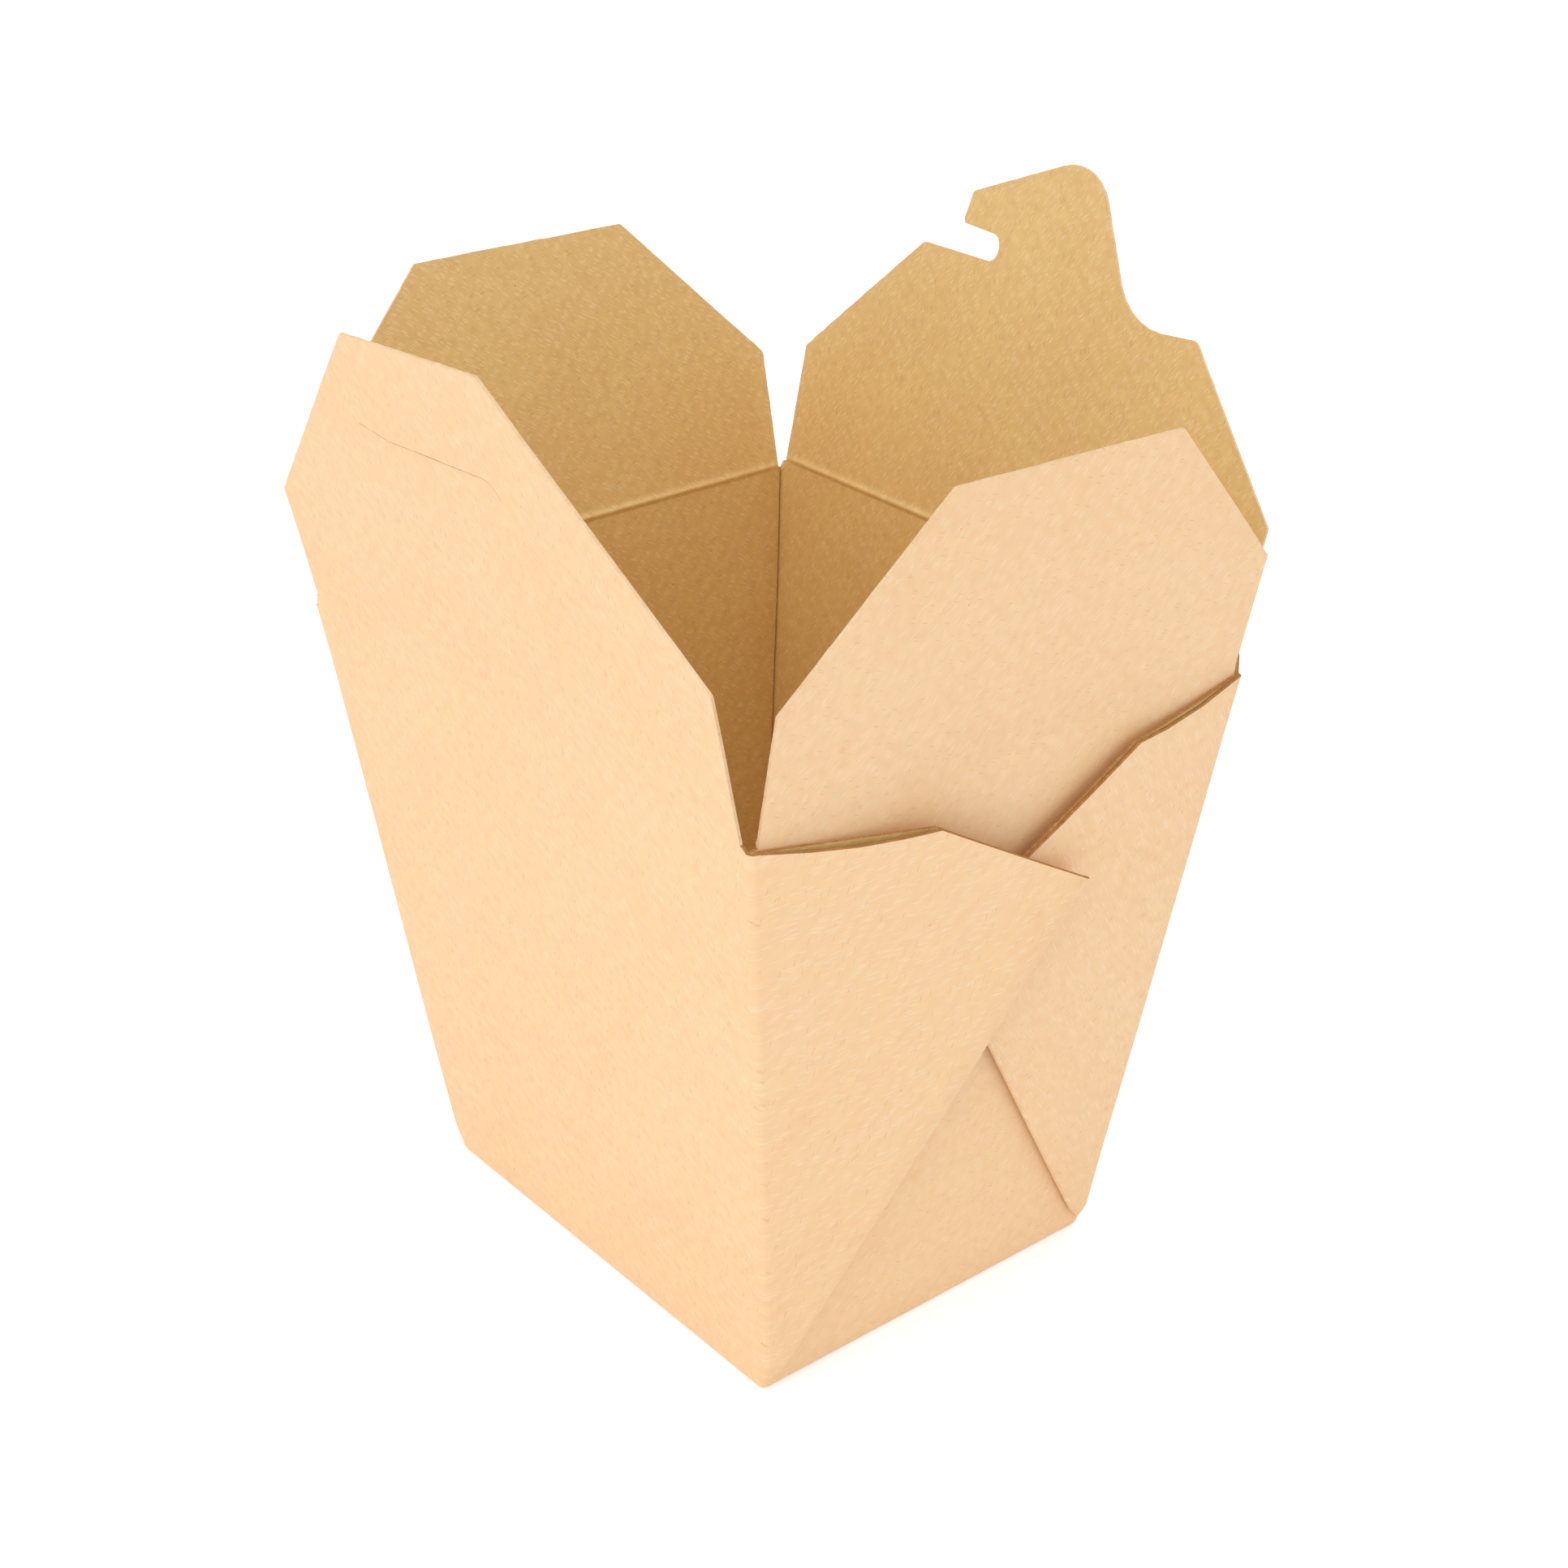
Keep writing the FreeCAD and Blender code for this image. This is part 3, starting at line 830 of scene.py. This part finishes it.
# %% The finishes
outside = kraft_finish("kraft_outside", {
    "base": "#fad7aa", "drift": "#f9d0a0", "patch": "#f9daa6", "shade": "#efc695",
    "pale": "#fee9ca", "dark": "#d9a873", "patch_amount": 0.5, "mottle_amount": 0.5,
    "pale_amount": 0.5, "dark_amount": 0.4, "dark_share": 0.12, "speck_share": 0.03,
    "fibres": [(-48, 0.003, 0.00035, 0.4), (-36, 0.0024, 0.00045, 0.3)],
    "rough": 0.55, "rough_spread": 0.12, "specular": 0.25, "bump": 0.45,
})
inside = kraft_finish("kraft_inside", {
    "base": "#ebc781", "drift": "#e5bb7b", "patch": "#e6c67a", "shade": "#d8ae6b",
    "pale": "#f6dfae", "dark": "#9c6c36", "patch_amount": 0.5, "mottle_amount": 0.62,
    "pale_amount": 0.7, "dark_amount": 0.3, "dark_share": 0.16, "speck_share": 0.04,
    "fibres": [(-58, 0.0024, 0.00025, 0.4), (-44, 0.0018, 0.0003, 0.3)],
    "rough": 0.42, "rough_spread": 0.15, "specular": 0.8, "bump": 0.4,
})
raw_edge = kraft_finish("kraft_cut_edge", {
    "base": "#efcfa4", "drift": "#e8c394", "patch": "#f3d9b4", "shade": "#d9b285",
    "pale": "#f8e5c8", "dark": "#b98a58", "patch_amount": 0.6, "mottle_amount": 0.6,
    "pale_amount": 0.5, "dark_amount": 0.4, "dark_share": 0.1, "speck_share": 0.0,
    "fibres": [(10, 0.0012, 0.0003, 0.4), (80, 0.001, 0.0003, 0.3)],
    "rough": 0.8, "rough_spread": 0.1, "specular": 0.15, "bump": 0.9,
})
# Painted shade: the webs' cut edges are coloured brown for the shadow in the narrow gap between the plies
# and the wall.
web_edge_painted_shade = kraft_finish("kraft_web_edge_painted_shade", {
    "base": "#b98650", "drift": "#a9764a", "patch": "#c79860", "shade": "#94653c",
    "pale": "#d9b27c", "dark": "#7a4f2b", "patch_amount": 0.6, "mottle_amount": 0.6,
    "pale_amount": 0.4, "dark_amount": 0.4, "dark_share": 0.1, "speck_share": 0.0,
    "fibres": [(10, 0.0012, 0.0003, 0.4), (80, 0.001, 0.0003, 0.3)],
    "rough": 0.8, "rough_spread": 0.1, "specular": 0.15, "bump": 0.9,
})

# %% Make the carton
# The cut edges of the webs take the brown finish that holds painted shade.
carton = board_object(carton_sheet(), "carton_board", [outside, inside, web_edge_painted_shade])
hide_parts("carton")
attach(carton, "carton")
print("carton_board has", len(carton.data.polygons), "faces before it gets its thickness")

# %% [markdown]
# Each flap stands at its own tilt outwards and is curled a little, as in the photo. The table gives
# its outline, its slit if it has one, which way its width runs in space, and which way its width
# and its height run on the flat sheet.

# %% Make the four flaps
TILTS = {"front": 12.6, "right": 11.5, "back": 13.3, "left": 14.1}
CURLS = {"front": 0.3, "right": -0.3, "back": 0.6, "left": -0.3}
SHEET_X, SHEET_Y = Vector((1, 0)), Vector((0, 1))
X, Y = Vector((1, 0, 0)), Vector((0, 1, 0))
flaps = {
    "front": (outline(end_half + FRONT_WIDER, FRONT_SHOULDER, SHOULDER_LOW, FRONT_TOP),
              front_slit, X, SHEET_X, -SHEET_Y),
    "right": (outline(side_half, SHOULDER_LOW, SHOULDER_HIGH, RIGHT_TOP, RIGHT_NARROWER),
              None, Y, SHEET_Y, SHEET_X),
    "back": (outline(end_half, SHOULDER_LOW, SHOULDER_HIGH, HOOK_TOP),
             None, X, SHEET_X, SHEET_Y),
    "left": (outline(side_half, SHOULDER_LOW, SHOULDER_HIGH, LEFT_TOP),
             None, -Y, -SHEET_Y, -SHEET_X),
}
for name, (corners, slit, across, *flat_ways) in flaps.items():
    blank = flap_blank(corners, slit)
    wobble_edges(blank)
    crease = creases[name + "_crease"]
    start, end = stand_flap(blank, crease, across, TILTS[name], CURLS[name], *flat_ways)
    piece = board_object(blank, name + "_flap_board", [outside, inside, raw_edge], BEAD)
    piece.vertex_groups.new(name="bead")
    piece.modifiers["board"].vertex_group = "bead"
    piece.modifiers["board"].thickness_vertex_group = BOARD / (BOARD + BEAD)
    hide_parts(name + "_flap")
    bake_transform(piece, "carton", name + "_flap", start=start, end=end)
    print(piece.name, "has", len(piece.data.polygons), "faces before it gets its thickness")

# %% [markdown]
# ## Floor and light
#
# The photo is a bright studio shot: white ground, no hard shadow, and light from the front left
# that reaches into the box. An even white surround does most of it, and one large soft lamp gives
# the front wall a little more than the side wall. Ground and surround are lifted to white only
# where they are seen, straight or in a reflection, so that they don't brighten the box.

# %% Floor
FLOOR_SIZE = 6
GROUND, GROUND_LIFT = "#f4f1f6", 0.35


def where_seen(tree):
    sight = put(tree, "LightPath").outputs
    seen = calc(tree, "MAXIMUM", sight["Is Camera Ray"], sight["Is Glossy Ray"])
    return calc(tree, "MAXIMUM", seen, sight["Is Transmission Ray"])


def floor_finish():
    material = bpy.data.materials.new("white_ground")
    material.use_nodes = True
    tree = material.node_tree
    tree.nodes.clear()
    lift = calc(tree, "MULTIPLY", where_seen(tree), GROUND_LIFT)
    matt = put(tree, "BsdfDiffuse", {"Color": paint(GROUND)})
    glow = put(tree, "Emission", {"Color": (1, 1, 1, 1), "Strength": lift})
    both = put(tree, "AddShader", {0: matt.outputs[0], 1: glow.outputs[0]})
    put(tree, "OutputMaterial", {0: both.outputs[0]})
    return material


floor_bm = bmesh.new()
bmesh.ops.create_grid(floor_bm, x_segments=1, y_segments=1, size=FLOOR_SIZE / 2)
floor_mesh = bpy.data.meshes.new("floor")
floor_bm.to_mesh(floor_mesh)
floor_bm.free()
floor_mesh.materials.append(floor_finish())
floor = bpy.data.objects.new("floor", floor_mesh)
bpy.context.scene.collection.objects.link(floor)

# %% Light
SURROUND = 0.92
KEY_PLACE, KEY_SIZE, KEY_POWER = Vector((0.35, -1.0, 1.1)), 1.4, 5.5


def surround():
    world = bpy.data.worlds.new("surround")
    world.use_nodes = True
    tree = world.node_tree
    tree.nodes.clear()
    strength = put(tree, "Mix", {0: where_seen(tree), 2: SURROUND, 3: 1.0}).outputs[0]
    sky = put(tree, "Background", {"Color": (1, 1, 1, 1), "Strength": strength})
    put(tree, "OutputWorld", {0: sky.outputs[0]})
    return world


def soft_lamp(name, place, size, power):
    lamp = bpy.data.lights.new(name, "AREA")
    lamp.shape = "DISK"
    lamp.size = size
    lamp.energy = power
    made = bpy.data.objects.new(name, lamp)
    made.location = place
    made.rotation_euler = (-place).to_track_quat("-Z", "Y").to_euler()
    bpy.context.scene.collection.objects.link(made)
    print(name, "is", size, "m wide and gives", power, "W")


bpy.context.scene.world = surround()
soft_lamp("key_lamp", KEY_PLACE, KEY_SIZE, KEY_POWER)
bpy.context.scene.view_settings.view_transform = "Standard"
